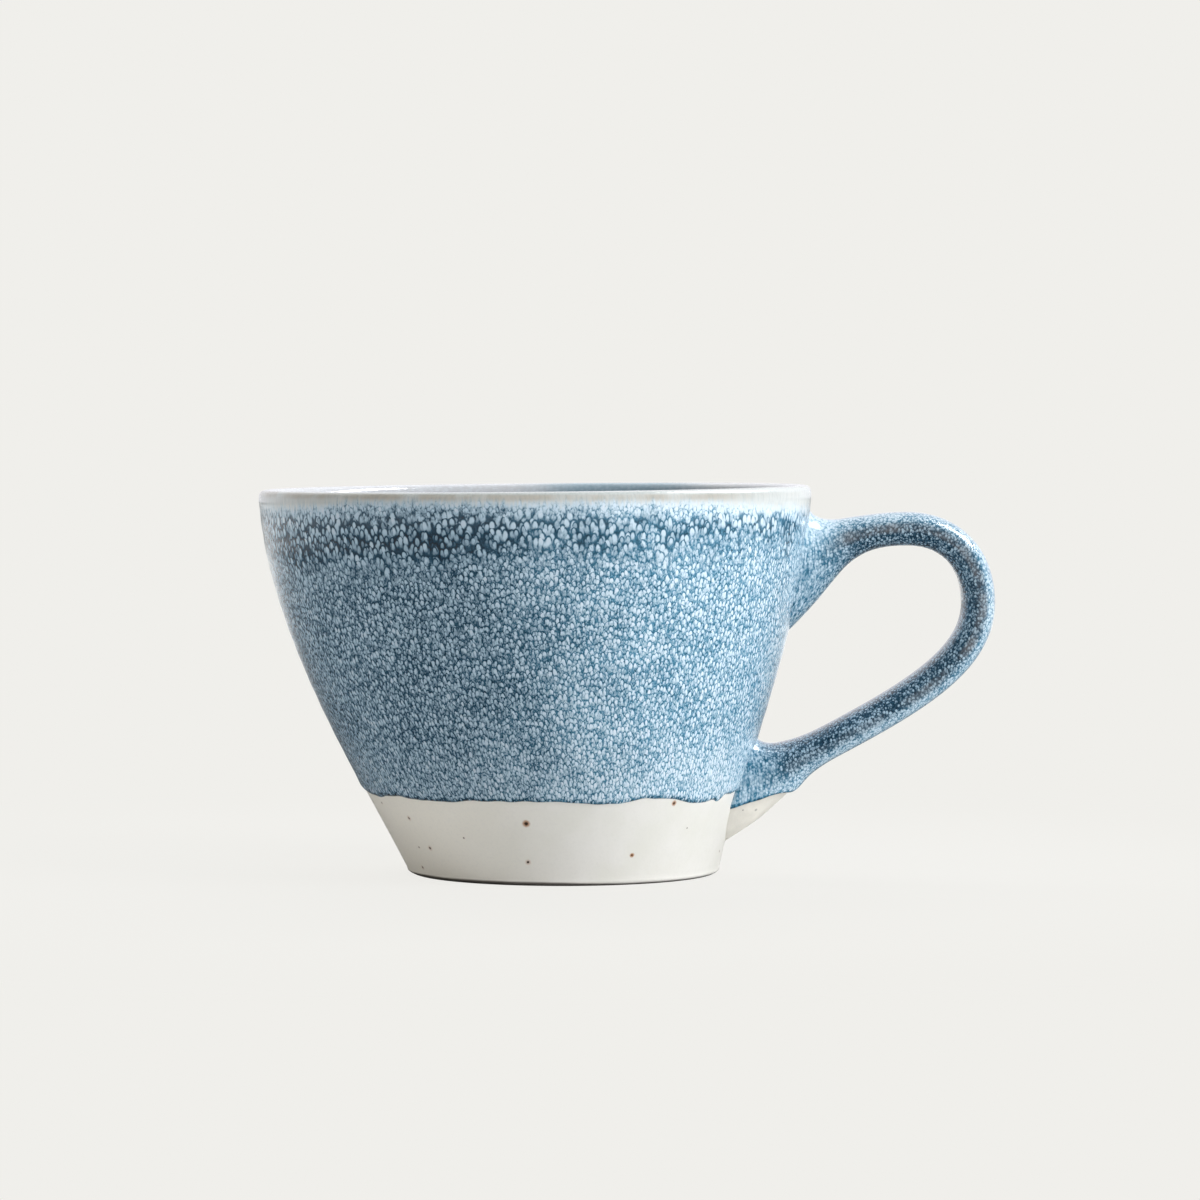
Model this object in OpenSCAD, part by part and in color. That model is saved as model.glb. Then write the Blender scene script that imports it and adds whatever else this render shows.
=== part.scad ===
/* [Cup] */
// Height of the rim above the table
cup_h = 79.2; // [65:0.2:95]
// Outside diameter of the rim, over the glaze
rim_d = 114; // [98:1:130]
// Outside diameter of the wall where it meets the table
foot_d = 63.4; // [54:0.2:74]
// How far the wall bows out from the straight line between foot and rim
belly = 3.5; // [1:0.1:5]
// Height at which it bows out most
belly_h = 48.5; // [38:0.5:56]
// How far the rim sits off the centre of the foot, away from the handle
lean = 5.9; // [0:0.1:9]
// How much higher the rim is on the handle side than on the far side
rim_rise = 1; // [0:0.1:2]
// Thickness of the clay wall
wall_t = 3.4; // [2.6:0.1:4.2]
// Thickness of the clay floor
floor_t = 4.6; // [3:0.1:7]
// Radius inside the cup where the floor turns up into the wall
heel_r = 9; // [5:0.5:12]

/* [Foot] */
// Width of the bare ring that the cup stands on
ring_w = 3.6; // [2.5:0.1:6]
// Depth of the recess inside the ring
recess_h = 1.8; // [1:0.1:3]
// Width of the slope between the ring and the recess
recess_slope = 1.6; // [0.8:0.1:3]
// Radius of the rounded corner at the outside of the ring
foot_round = 1.4; // [0.8:0.1:2.4]

/* [Glaze] */
// Thickness of the reactive glaze on the wall
glaze_t = 0.6; // [0.4:0.05:0.9]
// Thickness of the reactive glaze on the handle
handle_glaze_t = 0.5; // [0.3:0.05:0.8]
// Thickness of the liner glaze inside the cup and over the lip
liner_t = 0.45; // [0.3:0.05:0.7]
// Thickness of the pale satin glaze on the base
pale_t = 0.25; // [0.15:0.05:0.35]
// Height of the line where the reactive glaze stops
glaze_line = 18; // [14:0.1:22]
// Waviness of that line, up and down
line_wave = 0.45; // [0:0.05:0.8]
// How much lower the line is on the far side of the cup than by the handle
line_dip = 0.3; // [0:0.1:1.5]
// How much lower it is on the handle, above the bare tail
tail_drop = 3.6; // [1:0.1:5]
// How far the liner glaze laps down the outside of the lip
lip_lap = 2.2; // [1.5:0.1:3]

/* [Handle] */
// Thickness of the clay strap
strap_t = 5.9; // [4.5:0.1:7]
// Width of the clay strap
strap_w = 13; // [10:0.5:16]
// Distance from the upper joint to the strap's middle line where the loop stands furthest out
handle_out = 37; // [33:0.2:41]
// Depth of that place below the rim
reach_drop = 23.8; // [19:0.1:26]
// Distance from the upper joint to the top of the loop
crown_out = 22; // [19:0.5:25]
// Depth of the strap's middle line below the rim at the top of the loop
crown_drop = 8.5; // [6:0.1:10]
// Depth of the middle of the upper joint below the rim
upper_drop = 16; // [14:0.1:18]
// Height of the middle of the lower joint above the table
lower_h = 16.9; // [15:0.1:19]
// Length along the wall of the strap's upper end
upper_end_h = 18.4; // [15:0.1:21]
// Width of the strap's upper end
upper_end_w = 16; // [13:0.5:18]
// Length along the wall of the strap's lower end
lower_end_h = 15.7; // [13:0.1:18]
// Width of the strap's lower end
lower_end_w = 14; // [12:0.5:16]
// Distance from the wall over which each end of the strap swells
flare = 21; // [16:0.5:24]

/* [Luting slip] */
// Distance from the wall that the slip is wiped along the strap at the upper joint
upper_slip_reach = 9.5; // [6:0.5:12]
// Distance from the wall that the slip is wiped along the strap at the lower joint
lower_slip_reach = 18.5; // [12:0.5:20]
// Slip above the strap's upper end
upper_slip_top = 2.7; // [1.5:0.1:3.5]
// Slip below the strap's upper end
upper_slip_low = 4.5; // [3:0.1:6]
// Slip above the strap's lower end
lower_slip_top = 3.5; // [2:0.1:4.5]
// Slip below the strap's lower end
lower_slip_low = 4; // [2:0.1:5]
// Slip to each side of the strap
slip_side = 2.6; // [1.5:0.1:3.5]

/* [Hidden] */

// Points round the cup and round the strap, and the step between them
cup_sides = 48;
cup_step = 360 / cup_sides;
strap_sides = 20;
strap_step = 360 / strap_sides;

// Gap between the ends of the handle and the wall, and round the roots where the glaze is open
seat_gap = 0.06;
// How far every cutting body overruns what it cuts
overrun = 2;
// Step in height over which the slope of the wall is taken
probe = 0.5;

// Radii of the clay at the table and at the rim, and the top of the clay under the liner
clay_foot_r = foot_d / 2 - pale_t;
clay_rim_r = rim_d / 2 - glaze_t;
clay_h = cup_h - liner_t;
// Where the belly is, as a share of the height
belly_share = belly_h / cup_h;
// Round on the clay lip: its radius, the height of its middle and how far out that lies
lip_r = wall_t / 2;
lip_z = clay_h - lip_r;
lip_x = clay_r(lip_z) - lip_r;
// Height where the liner stops on the outside
lap_h = cup_h - lip_lap;
// Heights inside the cup: the floor, and where the heel meets the wall
floor_z = recess_h + floor_t;
heel_top = floor_z + heel_r;

// Waves in the glaze line, and the turn of the second, quicker set
wave_count = 5;
wave_turn = 40;
// Thickness of the wall glaze at its lower edge and at the bead just above it, and the height of
// the bead over the edge, all as shares of its thickness on the wall
edge_share = 0.7;
bead_share = 1.12;
bead_h_share = 1.2;
// Heights of rings as shares of the way from the foot to the glaze line, from there to the lap,
// and from the lip down to the heel
low_shares = [0.35, 0.7];
high_shares = [0.12, 0.25, 0.4, 0.55, 0.7, 0.85];
inner_shares = [0.2, 0.4, 0.6, 0.8];
// Angles of the rings round the foot's corner, over the lip and in the heel
foot_angles = [0, 30, 60, 90];
lip_angles = [0, 45, 90, 135, 180];
heel_angles = [0, 30, 60, 90];

// A number part of the way from a to b
function between(a, b, share) = a + (b - a) * share;

// A list the other way round
function reversed(list) = [for (i = [len(list) - 1 : -1 : 0]) list[i]];

// Bow of the wall at a share of the height: nothing at both ends, and 1 at the belly
function bow(share) =
    pow(share / belly_share, belly_share / (1 - belly_share)) * (1 - share) / (1 - belly_share);

// Radius of the clay's outside at height z
function clay_r(z) =
    let (share = max(z, 0) / cup_h)
    between(clay_foot_r, clay_rim_r, share) + belly * bow(share);

// Middle of the cup at height z: the axis curves away from the handle
function centre_x(z) = -lean * (1 - pow(1 - z / cup_h, 2));

// Level thickness of a coat that is t thick square to the wall at height z
function level_t(z, t) =
    let (slope = (clay_r(z) - clay_r(z - probe)) / probe)
    t * sqrt(1 + slope * slope);

// Rise of a point at height z towards the handle, for a rim a little out of level
function rise(z) = rim_rise / 2 * pow(z / cup_h, 3);

// Wave of the glaze line at angle a, with the dip away from the handle
function wave(a) =
    line_wave * (sin(wave_count * a) + sin(2 * wave_count * a + wave_turn)) / 2
    + line_dip * (cos(a) - 1) / 2;

// A profile point is [radius, height, share of the wave that it follows]. At angle a it is set
// out round the leaning axis.
function set_out(p, a) =
    let (z = p[1] + p[2] * wave(a), r = p[0] + clay_r(z) - clay_r(p[1]))
    [centre_x(z) + r * cos(a), r * sin(a), z + rise(z) * cos(a)];

// Profile point at height z over a coat t thick
function on_wall(z, t, share = 0) = [clay_r(z) + level_t(z, t), z, share];

// Clay surface on the handle side, at y across and z up
function wall_x(y, z) =
    let (level = z - rise(z))
    centre_x(level) + sqrt(pow(clay_r(level), 2) - y * y);

// Faces between two rings of n points that start at p and q
function band(p, q, n) =
    [for (i = [0 : n - 1], f = [[i, i, i + 1], [i, i + 1, i + 1]])
        [p + f[0] % n, q + f[1] % n, (f[0] == f[1] ? q : p) + f[2] % n]];

// Faces between rings of n points that follow each other
function bands(count, n) = [for (k = [0 : count - 2], f = band(k * n, (k + 1) * n, n)) f];

// Faces that close the first or the last ring of n points round one point
function first_fan(p, pole, n) = [for (i = [0 : n - 1]) [pole, p + i, p + (i + 1) % n]];
function last_fan(p, pole, n) = [for (i = [0 : n - 1]) [pole, p + (i + 1) % n, p + i]];

// A solid turned from a profile that runs from the axis underneath, up the outside and back in
module turned(profile) {
    last = len(profile) - 1;
    count = last - 1;
    polyhedron(
        concat(
            [for (k = [1 : count], i = [0 : cup_sides - 1]) set_out(profile[k], i * cup_step)],
            [set_out(profile[0], 90), set_out(profile[last], 90)]
        ),
        concat(
            first_fan(0, count * cup_sides, cup_sides),
            bands(count, cup_sides),
            last_fan((count - 1) * cup_sides, count * cup_sides + 1, cup_sides)
        )
    );
}

// A hollow ring turned from an outer profile and an inner one, both from the bottom up
module coat(outer, inner) {
    profile = concat(outer, reversed(inner));
    count = len(profile);
    polyhedron(
        [for (p = profile, i = [0 : cup_sides - 1]) set_out(p, i * cup_step)],
        concat(bands(count, cup_sides), band((count - 1) * cup_sides, 0, cup_sides))
    );
}

// Rings over a coat t thick, for the base, the wall, the lip and the inside down to the axis
function base_rings(t) =
    [for (s = low_shares) on_wall(between(foot_round, glaze_line, s), t, s)];
function wall_rings(t) =
    [for (s = high_shares) on_wall(between(glaze_line, lap_h, s), t, pow(1 - s, 4))];
function lip_rings(t) =
    [for (a = lip_angles) [lip_x + (lip_r + t) * cos(a), lip_z + (lip_r + t) * sin(a), 0]];
function inner_rings(t) = concat(
    [for (s = inner_shares) on_wall(between(lip_z, heel_top, s), -wall_t - t)],
    [for (a = heel_angles)
        on_wall(heel_top, -wall_t - t) - [heel_r * (1 - cos(a)), (heel_r - t) * sin(a), 0]],
    [[0, floor_z + t, 0]]
);

// The stoneware cup: foot ring, floor, wall and lip in one piece of clay, ground flat to stand on
module cup_body() {
    ring_r = clay_foot_r - ring_w;
    corner_r = clay_r(foot_round) - foot_round;
    color("linen")
    difference() {
        turned(concat(
            [[0, recess_h, 0], [ring_r - recess_slope, recess_h, 0]],
            [[ring_r, 0, 0], [ring_r, -overrun, 0], [corner_r, -overrun, 0]],
            [for (a = foot_angles)
                [corner_r + foot_round * sin(a), foot_round * (1 - cos(a)), 0]],
            base_rings(0),
            [on_wall(glaze_line, 0, 1)],
            wall_rings(0),
            [on_wall(lap_h, 0)],
            lip_rings(0),
            inner_rings(0)
        ));
        translate([-foot_d, -foot_d, -2 * overrun])
            cube([2 * foot_d, 2 * foot_d, 2 * overrun]);
    }
}

// Pull of each curve of the strap's route towards its corners, as shares of its width or height
upper_pull_share = 0.35;
crown_pull_share = 0.45;
round_pull_share = 0.61;
drop_pull_share = 0.4;
tail_pull_share = 0.6;
// Climb of the strap away from the upper joint, and its fall towards the lower one
upper_climb = 34;
tail_fall = 29;
// Fullness of the strap's section, from 1 for an ellipse towards 0 for a box
section_share = 0.85;

// Route of the strap's middle line: three curves end to end, in the plane of the handle
upper_h = cup_h - upper_drop;
upper_seat = [wall_x(0, upper_h), upper_h];
lower_seat = [wall_x(0, lower_h), lower_h];
crown = upper_seat + [crown_out, upper_drop - crown_drop];
bend = upper_seat + [handle_out, upper_drop - reach_drop];
tail_run = bend[0] - lower_seat[0];
route = [
    [upper_seat, upper_seat + upper_pull_share * crown_out * [cos(upper_climb), sin(upper_climb)],
     crown - [crown_pull_share * crown_out, 0], crown],
    [crown, crown + [round_pull_share * (bend[0] - crown[0]), 0],
     bend + [0, round_pull_share * (crown[1] - bend[1])], bend],
    [bend, bend - [0, drop_pull_share * (bend[1] - lower_h)],
     lower_seat + tail_pull_share * tail_run * [cos(tail_fall), sin(tail_fall)], lower_seat]
];

// Places of the strap's rings: number of the curve, and share of the way along it
ring_shares = concat(
    [for (t = [0, 0.04, 0.1, 0.18, 0.28, 0.4, 0.55, 0.7, 0.85]) [0, t]],
    [for (t = [0, 0.2, 0.4, 0.6, 0.8]) [1, t]],
    [for (t = [0, 0.1, 0.2, 0.3, 0.4, 0.5, 0.6, 0.7, 0.78, 0.85, 0.9, 0.95, 1]) [2, t]]
);
last_ring = len(ring_shares) - 1;
// First ring of the curve that ends at the lower joint
first_low = search(2, [for (place = ring_shares) place[0]])[0];

// Point and direction at a share of the way along a curve with four corners
function on_curve(p, t) =
    let (u = 1 - t)
    u * u * u * p[0] + 3 * u * u * t * p[1] + 3 * u * t * t * p[2] + t * t * t * p[3];
function along_curve(p, t) =
    let (u = 1 - t, d = u * u * (p[1] - p[0]) + 2 * u * t * (p[2] - p[1]) + t * t * (p[3] - p[2]))
    d / norm(d);

// How much is left, at distance d from the wall, of something that fades out over a reach
function fading(d, reach, power) = d < reach ? pow(1 - d / reach, power) : 0;

// Distance of ring k from the wall, along the table
function ring_out(k) =
    let (place = ring_shares[k], seat = place[0] < 2 ? upper_seat : lower_seat)
    on_curve(route[place[0]], place[1])[0] - seat[0];

// A rounded section point: its cosine or sine, filled out
function filled(v) = sign(v) * pow(abs(v), section_share);

// Points of ring k, a coat t thick outside the strap, with the slip on it where slip is 1. The
// ring's plane turns from square to the strap to upright near the wall, and takes on the round of
// the wall as it does.
function strap_ring(k, t, slip) =
    let (
        place = ring_shares[k],
        upper = place[0] < 2,
        at = on_curve(route[place[0]], place[1]),
        along = along_curve(route[place[0]], place[1]),
        d = ring_out(k),
        seat = upper ? upper_seat : lower_seat,
        turn = fading(d, flare / 2, 1),
        lift = (1 - turn) * [-along[1], along[0]] + turn * [0, upper ? 1 : -1],
        swell = fading(d, flare, 3),
        wipe = slip * fading(d, upper ? upper_slip_reach : lower_slip_reach, 2),
        half_t = between(strap_t, upper ? upper_end_h : lower_end_h, swell) / 2 + t,
        half_w = between(strap_w, upper ? upper_end_w : lower_end_w, swell) / 2 + t,
        outer = half_t + wipe * (upper ? upper_slip_top : lower_slip_low),
        inner = half_t + wipe * (upper ? upper_slip_low : lower_slip_top)
    )
    [for (a = [strap_step / 2 : strap_step : 360])
        let (
            c = filled(cos(a)),
            y = -filled(sin(a)) * (half_w + wipe * slip_side),
            p = at + c * (c > 0 ? outer : inner) * lift / norm(lift)
        )
        [p[0] + turn * (on_seat(y, p[1])[0] - seat[0]), y, p[1]]];

// Point a gap off the wall
function on_seat(y, z) = [wall_x(y, z) + seat_gap, y, z];

// Points of the rings from the first to the last
function strap_rings(first, last, t, slip) =
    [for (k = [first : last], p = strap_ring(k, t, slip)) p];

// Points half-way in from an end ring, and in its middle, all on the round of the wall
function seat_points(k) =
    let (ring = strap_ring(k, 0, 0), mid_z = (ring[0][2] + ring[strap_sides / 2][2]) / 2)
    concat([for (p = ring) on_seat(p[1] / 2, (p[2] + mid_z) / 2)], [on_seat(0, mid_z)]);

// The pulled clay strap, with both ends shaped to the wall
module handle() {
    n = strap_sides;
    rings = last_ring + 1;
    near = rings * n;
    far = near + n + 1;
    color("linen")
    polyhedron(
        concat(strap_rings(0, last_ring, 0, 0), seat_points(0), seat_points(last_ring)),
        concat(
            first_fan(near, near + n, n),
            band(near, 0, n),
            bands(rings, n),
            band(last_ring * n, far, n),
            last_fan(far, far + n, n)
        )
    );
}

// A tube with a wall between outer rings and inner rings, both in the order of the strap
module sleeve(outer, inner) {
    n = strap_sides;
    out_count = len(outer) / n;
    in_count = len(inner) / n;
    back = len(outer);
    polyhedron(
        concat(outer, inner),
        concat(
            [for (f = reversed(bands(in_count, n))) [for (i = reversed(f)) back + i]],
            band(back, 0, n),
            bands(out_count, n),
            [for (f = band(back + (in_count - 1) * n, (out_count - 1) * n, n)) reversed(f)]
        )
    );
}

// Number of rings that the slip reaches from each end, up to the ring where it has run out
function wiped(from, to, reach) = len([for (k = [from : to]) if (ring_out(k) < reach) k]);
upper_wiped = wiped(0, first_low - 1, upper_slip_reach);
lower_wiped = wiped(first_low, last_ring, lower_slip_reach);

// The slip that beds each end of the strap on the wall, wiped out to nothing along the strap
module upper_luting() {
    color("oldlace")
    sleeve(strap_rings(0, upper_wiped, 0, 1), strap_rings(0, upper_wiped - 1, 0, 0));
}
module lower_luting() {
    first = last_ring - lower_wiped;
    color("oldlace")
    sleeve(strap_rings(first, last_ring, 0, 1), strap_rings(first + 1, last_ring, 0, 0));
}

// Body of the handle's rings from first to last over all its coats, gap and all, and on into the
// wall at the end that stands there. It opens the glaze on the wall for the handle.
module root_opening(first, last) {
    n = strap_sides;
    rings = strap_rings(first, last, handle_glaze_t + seat_gap, 1);
    near = [for (i = [0 : n - 1]) rings[i] - (first == 0 ? [wall_t, 0, 0] : [0, 0, 0])];
    far_i = len(rings) - n;
    far = [for (i = [0 : n - 1]) rings[far_i + i] - (last == last_ring ? [wall_t, 0, 0] : [0, 0, 0])];
    points = concat(near, rings, far);
    count = len(points) / n;
    polyhedron(
        concat(points, [(near[0] + near[n / 2]) / 2, (far[0] + far[n / 2]) / 2]),
        concat(
            first_fan(0, len(points), n),
            bands(count, n),
            last_fan((count - 1) * n, len(points) + 1, n)
        )
    );
}
module root_openings() {
    root_opening(0, upper_wiped);
    root_opening(last_ring - lower_wiped, last_ring);
}

// The blue reactive glaze on the wall, with a bead along its lower edge
module wall_glaze() {
    bead_h = glaze_line + bead_h_share * glaze_t;
    color("steelblue")
    difference() {
        coat(
            concat(
                [on_wall(glaze_line, edge_share * glaze_t, 1)],
                [on_wall(bead_h, bead_share * glaze_t, 1)],
                wall_rings(glaze_t),
                [on_wall(lap_h, glaze_t)]
            ),
            concat([on_wall(glaze_line, 0, 1)], wall_rings(0), [on_wall(lap_h, 0)])
        );
        root_openings();
    }
}

// The liner glaze: the floor and wall inside, over the lip and down to the lap outside
module liner_glaze() {
    color("lightsteelblue")
    turned(concat(
        reversed(inner_rings(0)),
        reversed(lip_rings(0)),
        [on_wall(lap_h, 0), on_wall(lap_h, glaze_t)],
        lip_rings(liner_t),
        inner_rings(liner_t)
    ));
}

// The pale satin glaze on the base, from the foot's round up to the reactive glaze
module base_glaze() {
    color("ghostwhite")
    difference() {
        coat(
            concat([on_wall(foot_round, pale_t)], base_rings(pale_t), [on_wall(glaze_line, pale_t, 1)]),
            concat([on_wall(foot_round, 0)], base_rings(0), [on_wall(glaze_line, 0, 1)])
        );
        root_openings();
    }
}

// The reactive glaze on the handle, which stops above the bare tail
module handle_glaze() {
    tail_line = glaze_line - tail_drop;
    color("royalblue")
    difference() {
        sleeve(
            strap_rings(0, last_ring, handle_glaze_t, 1),
            strap_rings(0, last_ring, 0, 1)
        );
        translate([0, -rim_d / 2, -overrun])
            cube([rim_d, rim_d, tail_line + overrun]);
    }
}

cup_body();
handle();
upper_luting();
lower_luting();
wall_glaze();
liner_glaze();
base_glaze();
handle_glaze();
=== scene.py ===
import math

import bmesh
import bpy
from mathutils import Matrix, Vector, noise


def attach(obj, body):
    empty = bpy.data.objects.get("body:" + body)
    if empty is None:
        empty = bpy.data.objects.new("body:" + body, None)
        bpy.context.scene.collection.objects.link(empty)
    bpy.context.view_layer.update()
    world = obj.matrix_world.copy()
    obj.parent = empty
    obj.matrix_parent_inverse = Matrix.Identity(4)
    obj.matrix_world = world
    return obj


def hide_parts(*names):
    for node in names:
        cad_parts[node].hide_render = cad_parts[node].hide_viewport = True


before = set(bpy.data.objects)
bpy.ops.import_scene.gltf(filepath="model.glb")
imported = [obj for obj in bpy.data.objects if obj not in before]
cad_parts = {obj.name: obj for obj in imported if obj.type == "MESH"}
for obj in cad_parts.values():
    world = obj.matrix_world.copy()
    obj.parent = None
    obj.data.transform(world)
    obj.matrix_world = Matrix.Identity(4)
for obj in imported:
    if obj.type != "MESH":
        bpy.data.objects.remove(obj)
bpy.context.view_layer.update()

bl_info = {
    "name": "Stoneware Mug",
    "version": (1, 0, 0),
    "blender": (4, 5, 0),
    "location": "3D View > Sidebar > Mug",
    "description": "Dresses the packed mug in clay, glaze and studio light",
    "category": "Object",
}

MM = 0.001


# Settings


def length(name, description, millimetres):
    """A length of the mug, held in metres."""
    return bpy.props.FloatProperty(
        name=name, description=description, default=millimetres * MM, unit="LENGTH", precision=5
    )


def share(name, description, default):
    """A plain number, such as a share of a length."""
    return bpy.props.FloatProperty(name=name, description=description, default=default, precision=3)


def angle(name, description, degrees):
    """An angle."""
    return bpy.props.FloatProperty(
        name=name, description=description, default=math.radians(degrees), unit="ROTATION"
    )


def colour(name, description, red, green, blue):
    """A colour in the renderer's own linear values."""
    return bpy.props.FloatVectorProperty(
        name=name, description=description, default=(red, green, blue), size=3, subtype="COLOR"
    )


class MugForm(bpy.types.PropertyGroup):
    """Sizes of the cup and its coats, the same as those of the solids."""

    cup_h: length("Height", "Height of the rim above the table", 79.2)
    rim_d: length("Rim", "Outside diameter of the rim, over the glaze", 114)
    foot_d: length("Foot", "Outside diameter of the wall where it meets the table", 63.4)
    belly: length("Belly", "How far the wall bows out", 3.5)
    belly_h: length("Belly height", "Height at which the wall bows out most", 48.5)
    lean: length("Lean", "How far the rim sits off the foot, away from the handle", 5.9)
    rim_rise: length("Rim rise", "How much higher the rim is on the handle side", 1)
    wall_t: length("Wall", "Thickness of the clay wall", 3.4)
    floor_t: length("Floor", "Thickness of the clay floor", 4.6)
    heel_r: length("Heel", "Radius inside where the floor turns up into the wall", 9)
    ring_w: length("Foot ring", "Width of the bare ring that the cup stands on", 3.6)
    recess_h: length("Recess", "Depth of the recess inside the foot ring", 1.8)
    recess_slope: length("Recess slope", "Width of the slope between ring and recess", 1.6)
    foot_round: length("Foot corner", "Radius of the corner at the outside of the ring", 1.4)
    glaze_t: length("Glaze", "Thickness of the reactive glaze on the wall", 0.6)
    handle_glaze_t: length("Handle glaze", "Thickness of the glaze on the handle", 0.5)
    liner_t: length("Liner", "Thickness of the glaze inside and over the lip", 0.45)
    pale_t: length("Pale glaze", "Thickness of the satin glaze on the base", 0.25)
    glaze_line: length("Glaze line", "Height where the reactive glaze stops", 18)
    line_wave: length("Line wave", "Waviness of that line", 0.45)
    line_dip: length("Line dip", "How much lower the line is on the far side", 0.3)
    lip_lap: length("Lip lap", "How far below the rim the wall's glaze gives way to the liner", 2.2)


class MugHandleForm(bpy.types.PropertyGroup):
    """Sizes of the strap, named and set as in the solids, but for four things.

    The reach is 0.3 mm less than the solid's. The tuck, the drip and the sloped end of the tail's
    glaze are only here.
    """

    strap_t: length("Strap", "Thickness of the clay strap", 5.9)
    strap_w: length("Strap width", "Width of the clay strap", 13)
    handle_out: length("Reach", "How far the loop stands out from the upper joint", 36.7)
    reach_drop: length("Reach drop", "Depth of that place below the rim", 23.8)
    crown_out: length("Crown", "Distance from the upper joint to the top of the loop", 22)
    crown_drop: length("Crown drop", "Depth of the strap's middle below the rim there", 8.5)
    upper_drop: length("Upper joint", "Depth of the middle of the upper joint", 16)
    lower_h: length("Lower joint", "Height of the middle of the lower joint", 16.9)
    upper_end_h: length("Upper end", "Length of the upper end along the wall", 18.4)
    upper_end_w: length("Upper end width", "Width of the upper end", 16)
    lower_end_h: length("Lower end", "Length of the lower end along the wall", 15.7)
    lower_end_w: length("Lower end width", "Width of the lower end", 14)
    flare: length("Flare", "Distance over which each end swells", 21)
    upper_slip_reach: length("Upper slip reach", "How far the slip is wiped along the strap", 9.5)
    lower_slip_reach: length("Lower slip reach", "How far the slip is wiped along the strap", 18.5)
    upper_slip_top: length("Upper slip top", "Slip above the upper end", 2.7)
    upper_slip_low: length("Upper slip foot", "Slip below the upper end", 4.5)
    lower_slip_top: length("Lower slip top", "Slip above the lower end", 3.5)
    lower_slip_low: length("Lower slip foot", "Slip below the lower end", 4)
    slip_side: length("Slip side", "Slip to each side of the strap", 2.6)
    tuck: share("Tuck", "Share of the slip under the tail that is tucked up at the wall", 0.3)
    tuck_reach: length("Tuck reach", "Distance from the wall over which it is tucked up", 3.6)
    upper_climb: angle("Climb", "Climb of the strap away from the upper joint", 34)
    tail_fall: angle("Fall", "Fall of the strap towards the lower joint", 29)
    section_share: share("Fullness", "Fullness of the section, from 1 for an ellipse down", 0.85)
    tail_line_h: length("Tail line", "Height of the glaze's end beside the wall, on the tail", 14.3)
    drip: length("Drip", "How far the glaze hangs down at the outer end of that line", 1.3)
    drip_out: length("Drip place", "Distance of that drip from the wall", 11.5)
    tail_line_slope: share("Tail slope", "Rise of that line over its run from the wall", 0.31)


class MugColours(bpy.types.PropertyGroup):
    """Colours of the clay and the glazes, some of them painted light, shade and reflection."""

    clay: colour("Clay", "Bare fired clay of the foot and the tail", 0.67, 0.64, 0.58)
    pale: colour("Pale glaze", "Satin glaze of the base", 0.79, 0.77, 0.735)
    iron: colour("Iron specks", "Core of an iron speck", 0.035, 0.016, 0.008)
    rust: colour("Rust", "Halo round an iron speck", 0.42, 0.20, 0.08)
    # This colour is a painted contact shadow where the foot meets the table
    contact_shadow: colour("Foot line", "Toasted edge of the clay at the table", 0.075, 0.062, 0.052)
    deep_pool: colour("Deep pool", "Darkest glaze between the drops", 0.004, 0.017, 0.032)
    # The darker and the paler side's colours are partly the glaze's own tones, and partly painted
    # shade and painted light
    deep_ground: colour("Deep ground", "Ground of the darker side", 0.020, 0.068, 0.115)
    deep_drop: colour("Deep drop", "Drops of the darker side", 0.37, 0.51, 0.62)
    light_ground: colour("Light ground", "Ground of the paler side", 0.060, 0.240, 0.380)
    light_drop: colour("Light drop", "Drops of the paler side", 0.66, 0.79, 0.89)
    lip: colour("Lip", "Glaze where it runs thin under the lip", 0.62, 0.62, 0.58)
    deep_crest: colour("Deep crest", "Palest drops of the darker side", 0.52, 0.60, 0.68)
    light_crest: colour("Light crest", "Palest drops of the paler side", 0.76, 0.83, 0.91)
    # Painted light at the inner edge of the rim: a painted reflection at the sides and a painted
    # shade in the middle
    rim_reflection: colour("Thin rim", "Inner edge of the rim where the glaze is thin", 0.70, 0.69, 0.71)
    rim_shade: colour("Thick rim", "The same edge where the glaze is thicker", 0.32, 0.41, 0.47)
    # This colour is the speck on the tail, and a painted reflection along the strap's sides
    speck_and_reflection: colour("Thin glaze", "Strap's sides, where the glaze is thin", 0.15, 0.135, 0.13)
    lip_break: colour("Lip break", "Line where the clay shows through at the lip", 0.36, 0.29, 0.21)


class MugStage(bpy.types.PropertyGroup):
    """The camera, the floor and the lamps."""

    backdrop: colour("Backdrop", "Floor and backdrop", 0.871, 0.863, 0.831)
    mirrored: colour("Mirrored backdrop", "Backdrop as the gloss shows it", 0.95, 0.95, 1.0)
    room: colour("Room", "Dim room behind the camera, as the gloss shows it", 0.07, 0.075, 0.08)
    eye_out: length("Camera distance", "Distance of the camera in front of the foot", 1018)
    eye_side: length("Camera side", "How far the camera stands to the right", 7.4)
    eye_h: length("Camera height", "Height of the camera", 95.5)
    eye_pitch: angle("Camera pitch", "How far the camera looks down", 2.22)
    lens: share("Lens", "Focal length in millimetres", 148.65)
    fill: share("Fill", "Strength of the light from all round", 0.53)
    fill_tint: colour("Fill tint", "Colour of the light from all round", 1, 0.985, 0.95)
    key: share("Key lamp", "Power of the large lamp at the right", 19)
    top: share("Top lamp", "Power of the lamp overhead", 14)
    strip: share("Strip lamp", "Power of the strip that only the gloss shows", 16)


# Laws of the cup's form


def between(a, b, part):
    """A number part of the way from a to b."""
    return a + (b - a) * part


def eased(value, low, high):
    """0 below low and 1 above high, with a smooth rise between."""
    part = min(max((value - low) / (high - low), 0.0), 1.0)
    return part * part * (3 - 2 * part)


def bow(form, part):
    """Bow of the wall at a share of the height: nothing at both ends, and 1 at the belly."""
    at = form.belly_h / form.cup_h
    return (part / at) ** (at / (1 - at)) * (1 - part) / (1 - at)


def clay_r(form, z):
    """Radius of the clay's outside at height z."""
    part = min(max(z, 0.0) / form.cup_h, 1.0)
    foot_r = form.foot_d / 2 - form.pale_t
    rim_r = form.rim_d / 2 - form.glaze_t
    return between(foot_r, rim_r, part) + form.belly * bow(form, part)


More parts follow.
